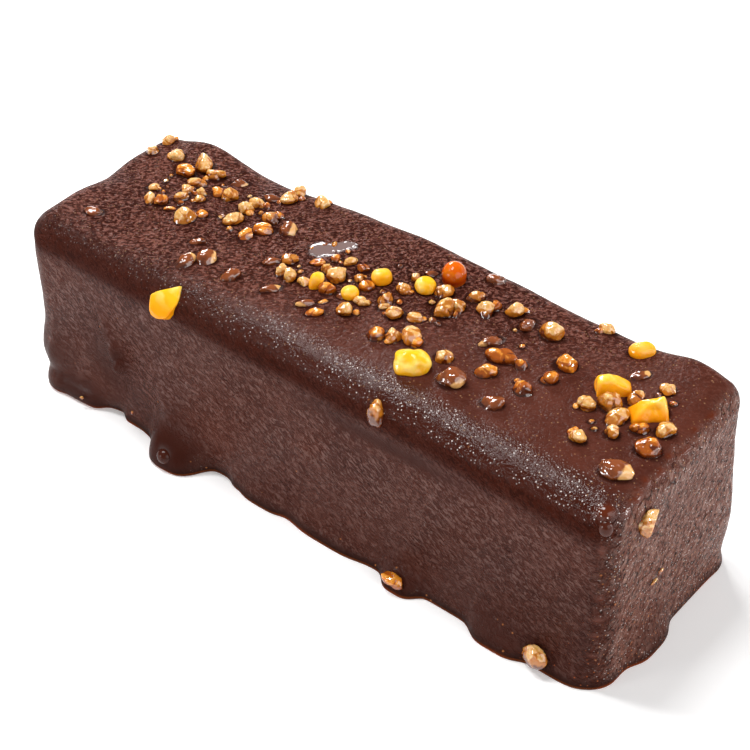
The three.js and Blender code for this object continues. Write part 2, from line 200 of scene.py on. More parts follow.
class Draws:
    """Seeded draws, from 0 to 1 or between two values."""

    FACTOR, STEP, SPAN = 1664525, 1013904223, 2**32

    def __init__(self, seed):
        self.state = seed

    def __call__(self, low=0.0, high=1.0):
        self.state = (self.state * self.FACTOR + self.STEP) % self.SPAN
        return low + (high - low) * self.state / self.SPAN


def drawn_crumbs(draw):
    """Crumbs in each patch, each clear of what lies there already."""
    taken = [(row[0], row[1], row[2]) for rows in PIECES.values() for row in rows]
    crumbs = []
    for at_x, at_y, along, across, count in PATCHES:
        wanted = len(crumbs) + count
        for _ in range(CRUMB_TRIES):
            if len(crumbs) >= wanted:
                break
            angle = 2 * math.pi * draw()
            out = math.sqrt(draw())
            x, y = at_x + along * out * math.cos(angle), at_y + across * out * math.sin(angle)
            size = draw(*CRUMB_LENGTH)
            if all(math.hypot(x - a, y - b) > CRUMB_GAP * (size + c) for a, b, c in taken):
                crumbs.append((x, y, size, CRUMB_WIDTH * size, draw(0, 180)))
                taken.append((x, y, size))
    return crumbs


crumbs = drawn_crumbs(Draws(CRUMB_SEED))

# ------------------------
# The glaze: one closed skin of dark chocolate over the whole bar. It is made as a fine block that
# is carried to the bar's form, with its runs and beads pushed out of it, and drawn up a little
# around every piece that lies in it.
# ------------------------

MM = 0.001
scene = bpy.context.scene
CELLS = (0.42, 0.40, 0.60)  # size of the skin's faces along X, Y and Z
UNDULATION = ((11.0, 0.20), (4.2, 0.09), (1.9, 0.035))  # wavelength and height
UNDULATION_START, CALM_FLATTENING = 3.0, 0.7

# How high the glaze climbs at a piece, how far off, and the piece's half outline as a share.
RIMS = {"tan": 0.18, "amber": 0.2, "covered": 0.3, "yellow": 0.15, "orange": 0.25}
CRUMB_RIM, RIM_SPREAD, RIM_REACH, FOOTPRINT = 0.08, 0.5, 3, 0.46

# Runs: x, y, z, half width, half height, how far they stand out, turn.
RUNS = [
    (-47.3, -20.5, 20.5, 1.6, 5, 0.9, 14), (-45.8, -20.5, 17, 1.8, 3.8, 1.7, 10),
    (-44.8, -20.5, 15.2, 1.7, 2.2, 2.6, 0), (-67.5, -19.5, 10.5, 4.5, 4.6, 1.1, 0),
    (-63, -20.5, 9.5, 4.4, 4.6, 1, 10), (-56, -20.5, 9, 1.5, 7, 0.45, -22),
    (-58.5, -21, 2.4, 8.5, 2.3, 1.2, 0), (-43, -20.5, 8.5, 2, 5.5, 0.5, -25),
    (-31, -23.5, 3.6, 4.8, 4.2, 1.2, 0), (-33.5, -20.5, 11, 2.4, 5.5, 0.6, 12),
    (2.5, -20.8, 19.4, 1.2, 2, 0.35, 24), (9.5, -21, 12.5, 1.1, 1.8, 0.25, 20),
    (-12.5, 20.5, 14.5, 1.8, 4, 0.7, -6), (40.5, 21, 24, 1.3, 3.4, 0.45, 4),
    (-67.5, 4.5, 12, 1.6, 2.6, 0.6, 0),
]

# Beads on the skin: x, y, z, their half sizes, how thin and red the glaze is in them (the red
# partly a painted glow), how wet.
BEADS = [
    (-30.1, -24.9, 2.9, 1.65, 1.5, 1.6, 0.06, 0.2),
    (63.3, -18.8, 36.8, 1.25, 1.2, 1.6, 0.12, 0.3),
    (22.5, 22.4, 3, 1.7, 1.1, 1.7, 0.1, 0.4),
    (-12.9, 21, 11.8, 1.5, 0.9, 1.6, 0.1, 0.2),
]

# Low reddish blisters at the edges of the ends: x, y, z, half width, half height, reach.
BLISTERS = [
    (62.4, -17.6, 38.6, 1.5, 1.2, 0.75), (64.3, -15.4, 38.2, 1.2, 0.8, 0.6),
    (64.5, -12, 38.9, 2.2, 0.9, 0.83), (64.2, -8.4, 39.6, 1, 0.9, 0.52),
    (64.6, -5, 39.2, 1.3, 0.9, 0.68), (64, -1.6, 40, 1, 0.7, 0.52),
    (64.9, 1.9, 39.1, 1.5, 0.7, 0.6), (64, 6, 40.2, 0.8, 0.7, 0.45),
    (64.4, 10.5, 40.2, 1.4, 0.8, 0.52), (63.8, -20, 32.6, 0.7, 1.1, 0.38),
    (64.6, -20.2, 21.8, 0.9, 0.6, 0.3), (64.5, -20.3, 17, 1, 0.6, 0.3),
    (64.4, -20.4, 13.3, 0.8, 0.5, 0.25), (64.4, -20.5, 8.4, 0.9, 0.5, 0.25),
    (-64, -20.4, 12.5, 0.7, 0.5, 0.2),
]
BLISTER_WETNESS, BLISTER_THINNESS = 0.45, 0.3

# Places where the glaze set smooth: x, y, z, half sizes, and how smooth.
SMOOTH_PLACES = [
    (-30, -24, 3, 9, 6, 7, 1), (-66, -20, 8, 9, 7, 8, 0.9),
    (-57, -21, 2, 10, 5, 5, 1), (-48, -20.5, 14, 6, 3, 10, 0.6),
    (-45.2, -21.5, 16.2, 2, 3, 4.6, 1), (20, -20.5, 31.3, 17, 2.5, 1.8, 0.85),
    (45, -22, 3, 9, 5, 5, 0.6), (25, -22, 2, 7, 5, 4, 0.7),
    (66, -5, 3, 5, 8, 5, 0.5), (-23, 23, 4, 9, 6, 7, 0.9),
]

# Puddles of smooth glaze on the top: x, y, half length, half width, turn.
PUDDLES = [(-15.0, 5.6, 2.6, 2.2, 25), (-12.6, 8.2, 2.5, 1.4, 62)]
PUDDLE_HEIGHT, PUDDLE_WANDER, PUDDLE_WAVE = 0.2, 0.9, 1.7

DULL_SHADED_CORNER = (66.5, -21.5)  # the upright corner nearest to the viewer, dull and with painted shade


def grid_side(bm, steps, sizes, turn, move):
    """One flat side of the block, in faces of about the same size."""
    place = Matrix.Translation(move) @ turn @ Matrix.Diagonal((*sizes, 1, 1))
    bmesh.ops.create_grid(bm, x_segments=steps[0], y_segments=steps[1], size=0.5, matrix=place)


def fine_block():
    """The plain block, standing on z = 0, with one flat face underneath."""
    steps = [round(size / cell) for size, cell in zip((LENGTH, WIDTH, HEIGHT), CELLS)]
    upright = Matrix.Rotation(math.radians(90), 4, "X")
    sideways = Matrix.Rotation(math.radians(90), 4, "Z") @ upright
    centre = (LEFT_END + RIGHT_END) / 2
    bm = bmesh.new()
    grid_side(bm, (steps[0], steps[1]), (LENGTH, WIDTH), Matrix(), (centre, 0, HEIGHT))
    for side in (-HALF_WIDTH, HALF_WIDTH):
        grid_side(bm, (steps[0], steps[2]), (LENGTH, HEIGHT), upright, (centre, side, HEIGHT / 2))
    for end in (LEFT_END, RIGHT_END):
        grid_side(bm, (steps[1], steps[2]), (WIDTH, HEIGHT), sideways, (end, 0, HEIGHT / 2))
    bmesh.ops.remove_doubles(bm, verts=bm.verts, dist=min(CELLS) / 20)
    rim = [edge for edge in bm.edges if edge.is_boundary]
    bmesh.ops.contextual_create(bm, geom=rim)
    bmesh.ops.recalc_face_normals(bm, faces=bm.faces)
    return bm


def finished_piece(name, bm, material):
    """Makes a mesh in mm into a smooth object in metres that rides on the bar."""
    mesh = bpy.data.meshes.new(name)
    bm.to_mesh(mesh)
    bm.free()
    mesh.transform(Matrix.Scale(MM, 4))
    mesh.shade_smooth()
    mesh.materials.append(material)
    piece = bpy.data.objects.new(name, mesh)
    scene.collection.objects.link(piece)
    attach(piece, "root")
    return piece


def unevenness(points, wavelength, offset=0.0):
    """Smooth noise from -1 to 1 at points."""
    scaled = points / wavelength + offset
    return np.array([noise.noise(Vector(point)) for point in scaled])


def dome(points, normals, middle, half_width, half_height, turn):
    """How much of a soft swelling on the skin lies at each point, from 0 to 1."""
    away = points - middle
    nearest = int(np.argmin((away**2).sum(1)))
    out = normals[nearest]
    up = np.array((0, 0, 1.0)) - out[2] * out
    up /= np.linalg.norm(up)
    across = np.cross(up, out)
    c, s = math.cos(math.radians(turn)), math.sin(math.radians(turn))
    u, v = away @ across, away @ up
    spread = ((c * u + s * v) / half_width) ** 2 + ((c * v - s * u) / half_height) ** 2
    near = np.abs(away @ out) < 2 * max(half_width, half_height)
    return near * np.exp(-(spread**1.25))


def oval_distance(points, x, y, half_length, half_width, turn):
    """Distance outside an oval on the top, negative inside it."""
    c, s = math.cos(math.radians(turn)), math.sin(math.radians(turn))
    away_x, away_y = points[:, 0] - x, points[:, 1] - y
    along, across = c * away_x + s * away_y, c * away_y - s * away_x
    return (np.hypot(along / half_length, across / half_width) - 1) * min(half_length, half_width)


def rims(points):
    """How far the glaze climbs at the pieces that lie in it, and how near it is to one of them."""
    climb, nearness = np.zeros(len(points)), np.zeros(len(points))
    top = np.flatnonzero(points[:, 2] > HEIGHT - FRONT_EDGE)
    rows = [(row, RIMS[kind]) for kind, kind_rows in PIECES.items() for row in kind_rows]
    rows += [(row, CRUMB_RIM) for row in crumbs]
    for (x, y, length, width, turn), height in rows:
        near = top[np.hypot(points[top, 0] - x, points[top, 1] - y) < length + RIM_REACH]
        half_sizes = FOOTPRINT * length, FOOTPRINT * width
        distance = oval_distance(points[near], x, y, *half_sizes, turn)
        share = np.exp(-((np.maximum(distance, 0) / RIM_SPREAD) ** 1.5))
        climb[near] = np.maximum(climb[near], height * share)
        nearness[near] = np.maximum(nearness[near], share)
    return climb, nearness


def smoothstep(value, low, high):
    """0 up to the low value, 1 from the high one on, and smooth between them."""
    share = np.clip((value - low) / (high - low), 0, 1)
    return share * share * (3 - 2 * share)


def glaze_skin():
    """The skin's mesh, and what its finish needs to know at each of its points."""
    bm = fine_block()
    points = on_bar(np.array([vert.co for vert in bm.verts]))
    for vert, point in zip(bm.verts, points):
        vert.co = point
    bm.normal_update()
    normals = np.array([vert.normal for vert in bm.verts])
    runs = np.zeros(len(points))
    for x, y, z, half_width, half_height, height, turn in RUNS:
        share = dome(points, normals, np.array((x, y, z)), half_width, half_height, turn)
        runs = np.maximum(runs, height * share)
    climb, nearness = rims(points)
    blistered = np.zeros(len(points))
    for x, y, z, half_width, half_height, height in BLISTERS:
        share = dome(points, normals, np.array((x, y, z)), half_width, half_height, 0)
        runs = np.maximum(runs, height * share)
        blistered = np.maximum(blistered, share)
    wet = BLISTER_WETNESS * blistered
    calm = np.maximum(smoothstep(nearness, 0.5, 0.9), blistered)
    for x, y, z, along, across, upright, amount in SMOOTH_PLACES:
        spread = ((points - (x, y, z)) / (along, across, upright)) ** 2
        calm = np.maximum(calm, amount * np.exp(-(spread.sum(1) ** 1.3)))
    on_top = points[:, 2] > HEIGHT - FRONT_EDGE
    distance = np.min([oval_distance(points, *puddle) for puddle in PUDDLES], axis=0)
    distance += PUDDLE_WANDER * unevenness(points, PUDDLE_WAVE, offset=40)
    puddle = (1 - smoothstep(distance, -0.3, 0.35)) * on_top
    calm, wet = np.maximum(calm, puddle), np.maximum(wet, puddle)
    push = sum(height * unevenness(points, wave) for wave, height in UNDULATION)
    push *= np.clip(points[:, 2] / UNDULATION_START, 0, 1) * (1 - CALM_FLATTENING * calm)
    up_facing = smoothstep(normals[:, 2], 0.55, 0.95)
    end_facing = np.abs(normals[:, 0]) + 0.25 * unevenness(points, 2.6, offset=11)
    end_facing = smoothstep(end_facing, 0.35, 0.95) * np.where(points[:, 0] > 0, 1.0, 0.45)
    points = points + normals * (push + runs + PUDDLE_HEIGHT * puddle)[:, None]
    points[:, 2] += climb * up_facing
    points[:, 2] = np.maximum(points[:, 2], 0)
    for vert, point in zip(bm.verts, points):
        vert.co = point
    x, y, z = points.T
    lip = 1 - smoothstep(z, 0.3, 2.6)
    rim = 1 - smoothstep(z, 0.1, 0.8)
    left_foot = smoothstep(-x, 48, 54) * (y < 0)
    broken = smoothstep(unevenness(points, 9.0, offset=7), 0.05, 0.4)
    rim = np.maximum(rim * left_foot, rim * broken)
    edge = smoothstep(-y, 12.5, 15.5) * smoothstep(z, 37.0, 38.7)
    edge *= 0.15 + 0.85 * smoothstep(x, -48, 30)
    brow = smoothstep(-y, 15.5, 18.5) * smoothstep(z, 31.0, 35.5)
    corner = np.hypot(x - DULL_SHADED_CORNER[0], y - DULL_SHADED_CORNER[1])
    corner += unevenness(points, 2.6, offset=5)
    brow = np.maximum(brow, 0.8 * (1 - smoothstep(corner, 2.6, 6.5)))
    back_left = 1.6 * y - 0.8 * x + 6 * unevenness(points, 12, offset=21)
    crinkled = 0.08 + 0.92 * smoothstep(back_left, -36, 12)
    values = {
        "calm": np.maximum(calm, lip),  # set smooth
        "wet": wet,  # glossy
        "thin": np.maximum(0.75 * rim, BLISTER_THINNESS * blistered),  # red where the glaze is thin, partly a painted glow of light through it
        "lip": lip,  # next to the table
        "up": up_facing,
        "end": end_facing,
        "grainy": edge,  # grainy along the front edge of the top, under painted shade and painted glints
        "brow": brow,  # painted shade in a dark band under that edge
        "near": smoothstep(nearness, 0.35, 0.9),  # painted shade at the foot of a piece
        "crinkled": crinkled,  # in fine folds, most at the back left
        "matte": np.max([0.8 * brow, 0.9 * lip, 0.4 + 0.4 * crinkled * up_facing], axis=0),
        # painted shade, low on the sides and more towards the right
        "dim": smoothstep(x, -20, 60) * (1 - smoothstep(z, 8, 34)),
        "specky": np.exp(-(((x - 62) / 8) ** 2) - (z / 11) ** 2),
        "low": 1 - smoothstep(z, 4, 26),
    }
    layers = {name: bm.verts.layers.float.new(name) for name in values}
    for name, layer in layers.items():
        for vert, value in zip(bm.verts, values[name]):
            vert[layer] = float(value)
    for x, y, z, half_x, half_y, half_z, redness, wetness in BEADS:
        bead_values = {"calm": 1.0, "wet": wetness, "thin": redness}
        made = bmesh.ops.create_icosphere(bm, subdivisions=3, radius=1)["verts"]
        for vert in made:
            vert.co = (x + half_x * vert.co.x, y + half_y * vert.co.y, z + half_z * vert.co.z)
            for name, layer in layers.items():
                vert[layer] = bead_values.get(name, 0.0)
    return bm


class Socket:
    """An output in a material, with arithmetic that adds the nodes it needs."""

    def __init__(self, finish, link):
        self.finish = finish
        self.link = link

    def math(self, operation, *values):
        return self.finish.node("Math", {"operation": operation}, values)

    def __add__(self, other):
        return self.math("ADD", self, other)

    def __sub__(self, other):
        return self.math("SUBTRACT", self, other)

    def __rsub__(self, other):
        return self.math("SUBTRACT", other, self)

    def __mul__(self, other):
        return self.math("MULTIPLY", self, other)

    __radd__, __rmul__ = __add__, __mul__

    def between(self, low, high, start=0.0, end=1.0):
        """Runs smoothly from start to end as the value goes from low to high."""
        inputs = {"Value": self, "From Min": low, "From Max": high, "To Min": start, "To Max": end}
        return self.finish.node("MapRange", {"interpolation_type": "SMOOTHSTEP"}, inputs)


class Finish:
    """A material with a glossy surface, and the nodes that vary it."""

    def __init__(self, name, **surface):
        self.material = bpy.data.materials.new(name)
        self.material.use_nodes = True
        self.tree = self.material.node_tree
        self.surface = self.tree.nodes["Principled BSDF"]
        for socket, value in surface.items():
            self.surface.inputs[socket.replace("_", " ")].default_value = value
        self.place = self.node("TexCoord", output="Object")

    def node(self, kind, settings=None, inputs=None, output=0):
        """Any node, its settings first, then what its inputs hold or are linked to."""
        made = self.tree.nodes.new("ShaderNode" + kind)
        for name, value in (settings or {}).items():
            setattr(made, name, value)
        given = inputs or {}
        for name, value in given.items() if isinstance(given, dict) else enumerate(given):
            if isinstance(value, Socket):
                self.tree.links.new(value.link, made.inputs[name])
            else:
                made.inputs[name].default_value = value
        return Socket(self, made.outputs[output])

    def drawn_out(self, turn, stretch):
        """Places for a pattern that is turned, in degrees, and stretched."""
        turn = [math.radians(angle) for angle in turn]
        inputs = {"Vector": self.place, "Rotation": turn, "Scale": (stretch, 1, 1)}
        return self.node("Mapping", {"vector_type": "TEXTURE"}, inputs)

    def noise(self, size, detail=2.0, roughness=0.5, place=None, warp=0.0):
        """Noise from 0 to 1 with grains of that size in mm."""
        inputs = {"Vector": place or self.place, "Scale": 1 / (size * MM), "Detail": detail}
        inputs |= {"Roughness": roughness, "Distortion": warp}
        return self.node("TexNoise", None, inputs)

    def cells(self, size, output):
        """Cells of that size in mm: the distance to their middles, or their colours."""
        inputs = {"Vector": self.place, "Scale": 1 / (size * MM)}
        return self.node("TexVoronoi", None, inputs, output)

    def given(self, names):
        """What the mesh says at each point, under each of the names."""
        settings = [{"attribute_name": name} for name in names.split()]
        return [self.node("Attribute", setting, output="Fac") for setting in settings]

    def mix(self, share, first, second):
        """Two colours mixed."""
        first, second = (c if isinstance(c, Socket) else (*c, 1) for c in (first, second))
        return self.node("Mix", {"data_type": "RGBA"}, {0: share, 6: first, 7: second}, 2)

    def relief(self, height):
        """Relief of that height in mm."""
        return self.node("Bump", None, {"Height": height, "Distance": MM, "Strength": 1.0})

    def set(self, **links):
        """Links what varies to the surface, and gives the finished material."""
        for socket, value in links.items():
            self.tree.links.new(value.link, self.surface.inputs[socket.replace("_", " ")])
        return self.material


DARK_GLAZE = (0.068, 0.0172, 0.0106)
BROWN_GLAZE = (0.095, 0.0258, 0.016)
# the ends' glaze, lighter than the front, which also paints the light falling on them
END_GLAZE_LIT = (0.134, 0.044, 0.029)
# painted highlights on the crests of the top's folds
PAINTED_FOLD_HIGHLIGHT = (0.27, 0.105, 0.078)
# painted sheen on the crests of the front's strokes
PAINTED_STROKE_HIGHLIGHT = (0.195, 0.098, 0.08)
# painted highlights on the crests and veins of the ends' crags
PAINTED_CRAG_HIGHLIGHT = (0.29, 0.165, 0.13)
# painted shade: in the troughs of folds and strokes, in the holes and hollows of the crags, low on
# the right sides, at the foot of pieces
PAINTED_SHADE = (0.018, 0.0042, 0.0025)
# painted shade: the dark band under the front edge, the near corner, and the ground between the
# glints along that edge
PAINTED_BAND_SHADE = (0.045, 0.0075, 0.003)
SMOOTH_AND_SHADED_GLAZE = (0.028, 0.0065, 0.004)
PAINTED_FOOT_SHADE = (0.014, 0.0034, 0.002)
# painted reflection in the puddles and on wet up-facing places
PAINTED_PUDDLE_REFLECTION = (0.185, 0.12, 0.11)
# thin glaze, its red partly a painted glow of light passing through it
THIN_GLAZE_GLOW = (0.26, 0.04, 0.006)
PAINTED_LIP_GLOW = (0.2, 0.045, 0.008)
SPECK = (0.5, 0.17, 0.05)
RED_SPECK = (0.42, 0.09, 0.02)
# light flecks on the ends, and painted glints on the top
FLECK_AND_GLINT = (0.5, 0.27, 0.13)
GLINT = (0.86, 0.76, 0.72)

glaze = Finish("dark_chocolate_glaze", IOR=1.5, Specular_IOR_Level=0.095)
calm, wet, thin, lip, up, end, grainy = glaze.given("calm wet thin lip up end grainy")
brow, near, crinkled, matte = glaze.given("brow near crinkled matte")
dim, specky, low = glaze.given("dim specky low")

# The folds of the top, the strokes of the front and the crags of the ends each run their own way.
fold_place = glaze.drawn_out((0, 37.6, 39.7), 2.4)
stroke_place = glaze.drawn_out((0, 32.6, 0), 2.2)
crag_place = glaze.drawn_out((0, -53, 90), 2.0)
patches = glaze.noise(14, 3, 0.6)
fading = glaze.noise(5).between(0.3, 0.6, 0.75, 1.0)
wrinkles = glaze.noise(0.52, place=fold_place, warp=0.6)
strokes = glaze.noise(0.54, roughness=0.55, place=stroke_place, warp=1.1)
broad = glaze.noise(3.5, place=stroke_place)
crags = glaze.noise(0.85, roughness=0.55, place=crag_place, warp=0.9)
holes = glaze.noise(0.8).between(0.56, 0.62)
dust = glaze.noise(0.32, detail=1)


def middle_lines(pattern, width):
    """Thin lines where a noise passes its middle value."""
    off = pattern - 0.5
    return (off * off).between(0.0, width, 1.0, 0.0)


def spots(size, inner, outer, first, last, raggedness=0.0):
    """Spots with soft edges in some of the cells of that size."""
    distance = glaze.cells(size, "Distance") + dust * raggedness
    chosen = glaze.cells(size, "Color").between(first, last)
    return distance.between(inner, outer, 1.0, 0.0) * chosen


threads, veins = middle_lines(strokes, 0.0030), middle_lines(crags, 0.0022)
glints = spots(0.66, 0.20, 0.32, 0.22, 0.38, 0.16)
pits = spots(3.1, 0.10, 0.16, 0.55, 0.56)
specks = spots(1.9, 0.13, 0.19, 0.70, 0.71, 0.12)
flecks = spots(0.9, 0.20, 0.30, 0.36, 0.37, 0.2)
side, rough = 1 - up, 1 - calm
flank, folds = side * (1 - end), up * crinkled
painted_stroke_highlights = strokes.between(0.46, 0.66, 0.0, 0.62) * (1 - 0.4 * low) * fading

# The colours, each laid over those before it by its share.
base = glaze.mix(patches.between(0.3, 0.7), DARK_GLAZE, BROWN_GLAZE)
for share, colour in (
    (end * 0.9, END_GLAZE_LIT),
    (folds * rough * wrinkles.between(0.40, 0.50, 0.75, 0.0), PAINTED_SHADE),
    (folds * rough * wrinkles.between(0.52, 0.60, 0.0, 0.6), PAINTED_FOLD_HIGHLIGHT),
    (flank * rough * strokes.between(0.34, 0.50, 0.42, 0.0), PAINTED_SHADE),
    (flank * rough * painted_stroke_highlights, PAINTED_STROKE_HIGHLIGHT),
    (end * rough * holes * 0.85, PAINTED_SHADE),
    (end * rough * crags.between(0.30, 0.45, 0.5, 0.0), PAINTED_SHADE),
    (end * rough * crags.between(0.52, 0.64, 0.0, 0.5), PAINTED_CRAG_HIGHLIGHT),
    (end * rough * veins * 0.25, PAINTED_CRAG_HIGHLIGHT),
    (brow * (1 - 0.5 * threads), PAINTED_BAND_SHADE),
    (brow * strokes.between(0.36, 0.5, 0.6, 0.0), PAINTED_SHADE),
    (dim * 0.3 * (1 - end), PAINTED_SHADE),
    # smooth places darker, which is also painted shade on the low lobes, the feet and the drip,
    # and around pieces
    (calm * 0.85, SMOOTH_AND_SHADED_GLAZE),
    (near * 0.65, PAINTED_SHADE),
    (grainy * 0.75, PAINTED_BAND_SHADE),
    # painted shade along the foot, where the glaze meets the table
    (lip * 0.8, PAINTED_FOOT_SHADE),
    # a painted glow along the very bottom edge, of light through the thin glaze
    (lip.between(0.86, 1.0, 0.0, 0.55), PAINTED_LIP_GLOW),
    (thin, THIN_GLAZE_GLOW),
    ((wet * up).between(0.5, 0.9), PAINTED_PUDDLE_REFLECTION),
    (specks * 0.6 * side * (1 - wet), SPECK),
    (flecks * (end * 0.6 + up * 0.36) * rough, FLECK_AND_GLINT),
    (flecks * specky * 0.8, RED_SPECK),
    (glints * (grainy * 0.95 + end * rough * 0.55), GLINT),
):
    base = glaze.mix(share, base, colour)
relief = (
    folds * (wrinkles * 0.95 + dust * 0.03)
    + (up - folds) * (wrinkles * 0.14 + dust * 0.04)
    + flank * (1 - grainy) * (threads * 0.06 + strokes * 0.5 + broad * 0.2)
    + end * (crags * 0.95 + holes * -0.3 + veins * 0.08)
    + grainy * dust * 0.11
    + (grainy + end * 0.5) * glints * 0.12
    + side * pits * -0.25
) * rough
glaze_relief = glaze.relief(relief)

# Dry glaze has a faint gloss, is dull in places, and looks wet on its crests and in puddles.
glaze.set(Base_Color=base, Roughness=0.22 + 0.10 * patches, Normal=glaze_relief)
dull_surface = glaze.node("BsdfDiffuse", None, {"Color": base, "Normal": glaze_relief})
wet_inputs = {"Base Color": base, "IOR": 1.55, "Roughness": 0.10, "Normal": glaze_relief}
wet_surface = glaze.node("BsdfPrincipled", None, wet_inputs)
dry_surface = Socket(glaze, glaze.surface.outputs["BSDF"])
dry_surface = glaze.node("MixShader", None, (matte, dry_surface, dull_surface))
gloss = (
    folds * wrinkles.between(0.42, 0.52, 0.0, 0.18)
    + flank * (1 - brow) * strokes.between(0.46, 0.60, 0.0, 0.15)
    + end * crags.between(0.46, 0.60, 0.0, 0.25)
) * rough
wet_share = wet + (grainy * 0.4 + gloss) * (1 - wet)
glaze_surface = glaze.node("MixShader", None, (wet_share, dry_surface, wet_surface))
output = glaze.tree.nodes["Material Output"]
glaze.tree.links.new(glaze_surface.link, output.inputs["Surface"])

skin = glaze_skin()
chocolate_glaze = finished_piece("chocolate_glaze", skin, glaze.material)
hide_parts("glazed_cake_bar")

# ------------------------
# The chopped nuts: hazelnuts and almonds in pieces, boiled in sugar, so that each is a lumpy
# splinter under a glassy coat of caramel. Each is a few balls run together and cut by flat faces,
# and is pressed into the glaze, which wets its foot.
# ------------------------

# For each kind: height as a share of the width, how far the middle lies above the glaze as a share
# of the height, balls, flat faces, nearest and farthest face, sharpness of the edges.
SHAPES = {
    "tan": (0.95, 0.24, 3, 11, (0.58, 0.92), 34),
    "amber": (0.88, 0.22, 3, 9, (0.6, 0.96), 28),
    "covered": (0.8, 0.2, 3, 7, (0.6, 0.95), 22),
    "orange": (1.02, 0.28, 1, 0, (1, 1), 10),
}
BALL_SIZE = (0.62, 0.82)
BALL_JOIN = 14  # how sharp the grooves between balls are
OVERSIZE = 1.18  # its faces cut a piece back
DETAIL, CRUMB_DETAIL, CRUMB_LIMIT = 4, 3, 2.0  # small pieces get fewer faces
NUT_LUMP, AMBER_LUMP, COVERED_LUMP, ORANGE_LUMP = 0.1, 0.08, 0.07, 0.02
CLEAR_OF_GLAZE = 10
SKIRT_HEIGHT, SKIRT_SPREAD = 0.6, 0.24  # how a piece's foot widens into the glaze
FOOT_HEIGHT = 0.7  # how high the glaze wets a nut
PIECE_LAYERS = ("tone", "height", "crease", "foot", "bare")


def two_lumps(points, coarse, fine, draw):
    """Coarse and fine unevenness at points, from a drawn place in the noise."""
    shift = Vector((draw(0, 50), draw(0, 50), draw(0, 50)))
    return [
        np.array([noise.noise(Vector(point) * often + shift) for point in points])
        for often in (coarse, fine)
    ]


def lumpy_radius(around, balls, faces, face_depths, sharpness, lump, draw):
    """The radius of a piece in each direction, and how deep in a crease that direction lies."""
    middles, sizes = [], []
    for _ in range(balls):
        direction = np.array([draw(-1, 1), draw(-1, 1), draw(-0.7, 0.7)])
        direction /= np.linalg.norm(direction)
        size = draw(*BALL_SIZE) if balls > 1 else 1.0
        middles.append(direction * (1.02 - size) * (balls > 1))
        sizes.append(size)
    along = around @ np.array(middles).T
    inside = np.array([m @ m for m in middles])
    reach = along + np.sqrt(np.maximum(np.array(sizes) ** 2 - inside + along**2, 1e-4))
    reach = np.maximum(reach, 0.05)
    radius = (reach**BALL_JOIN).sum(1) ** (1 / BALL_JOIN)
    crease = np.zeros(len(around))
    if balls > 1:
        two = np.sort(reach, 1)[:, -2:]
        crease = smoothstep(two[:, 0] / two[:, 1], 0.86, 1.0)
    if faces:
        normals = np.array([[draw(-1, 1), draw(-1, 1), draw(-0.4, 1)] for _ in range(faces)])
        normals /= np.linalg.norm(normals, axis=1)[:, None]
        depths = np.array([draw(*face_depths) for _ in range(faces)])
        cut = np.maximum(around @ normals.T / depths, 1e-3)
        radius = ((cut**sharpness).sum(1) + radius**-sharpness) ** (-1 / sharpness)
    rough, finer = two_lumps(around, 2.3, 6, draw)
    return radius * (1 + lump * rough + 0.6 * lump * finer), crease


def add_piece(bm, kind, half, turn, middle, ground, lump, draw, detail):
    """Adds one piece to a mesh, with its own tone, its creases and its wet foot."""
    balls, faces, face_depths, sharpness = SHAPES[kind][2:]
    made = bmesh.ops.create_icosphere(bm, subdivisions=detail, radius=1)["verts"]
    around = np.array([vert.co for vert in made])
    faces = round(faces * draw(0.5, 1.4))
    sharpness *= draw(0.4, 1.6)
    radius, crease = lumpy_radius(around, balls, faces, face_depths, sharpness, lump, draw)
    shaped = around * radius[:, None] * half
    tone = draw()
    bare_turn = draw(-0.8, 0.8) + (math.pi if draw() < 0.3 else 0)
    layers = [bm.verts.layers.float[name] for name in PIECE_LAYERS]
    for vert, point, depth, direction in zip(made, shaped, crease, around):
        place = turn @ Vector(point) + middle
        low = min(max(1 - (place.z - ground) / SKIRT_HEIGHT, 0), 1.5)
        away = Vector((place.x - middle.x, place.y - middle.y, 0))
        vert.co = place + away.normalized() * SKIRT_SPREAD * low * low
        values = (
            tone,
            0.5 + 0.5 * (vert.co.z - middle.z) / half[2],
            depth,
            min(max(1 - (vert.co.z - ground) / FOOT_HEIGHT, 0), 1),
            direction[0] * math.cos(bare_turn) + direction[1] * math.sin(bare_turn),
        )
        for layer, value in zip(layers, values):
            vert[layer] = value


def new_pieces():
    """An empty mesh that can hold what the finishes need to know."""
    bm = bmesh.new()
    for name in PIECE_LAYERS:
        bm.verts.layers.float.new(name)
    return bm


def add_scattered(bm, kind, rows, lump, draw):
    """Adds the pieces that lie on the top, each a little tilted."""
    tall, lift = SHAPES[kind][:2]
    for x, y, length, width, turn in rows:
        height = tall * width
        half = np.array((length, width, height)) / 2 * OVERSIZE
        tilt = Euler((draw(-0.3, 0.3), draw(-0.3, 0.3), math.radians(turn))).to_matrix()
        ground = top_height(x, y)
        middle = Vector((x, y, ground + lift * height))
        detail = DETAIL if length > CRUMB_LIMIT else CRUMB_DETAIL
        add_piece(bm, kind, half, tilt, middle, ground, lump, draw, detail)


def add_side_pieces(bm, kind, rows, draw):
    """Adds pieces that stuck to an edge or a side, clear of any wet foot."""
    for x, y, z, half_x, half_y, half_z, tilt, turn in rows:
        turned = Euler((0, math.radians(tilt), math.radians(turn))).to_matrix()
        half = np.array((half_x, half_y, half_z))
        ground = z - CLEAR_OF_GLAZE
        add_piece(bm, kind, half, turned, Vector((x, y, z)), ground, NUT_LUMP, draw, DETAIL)


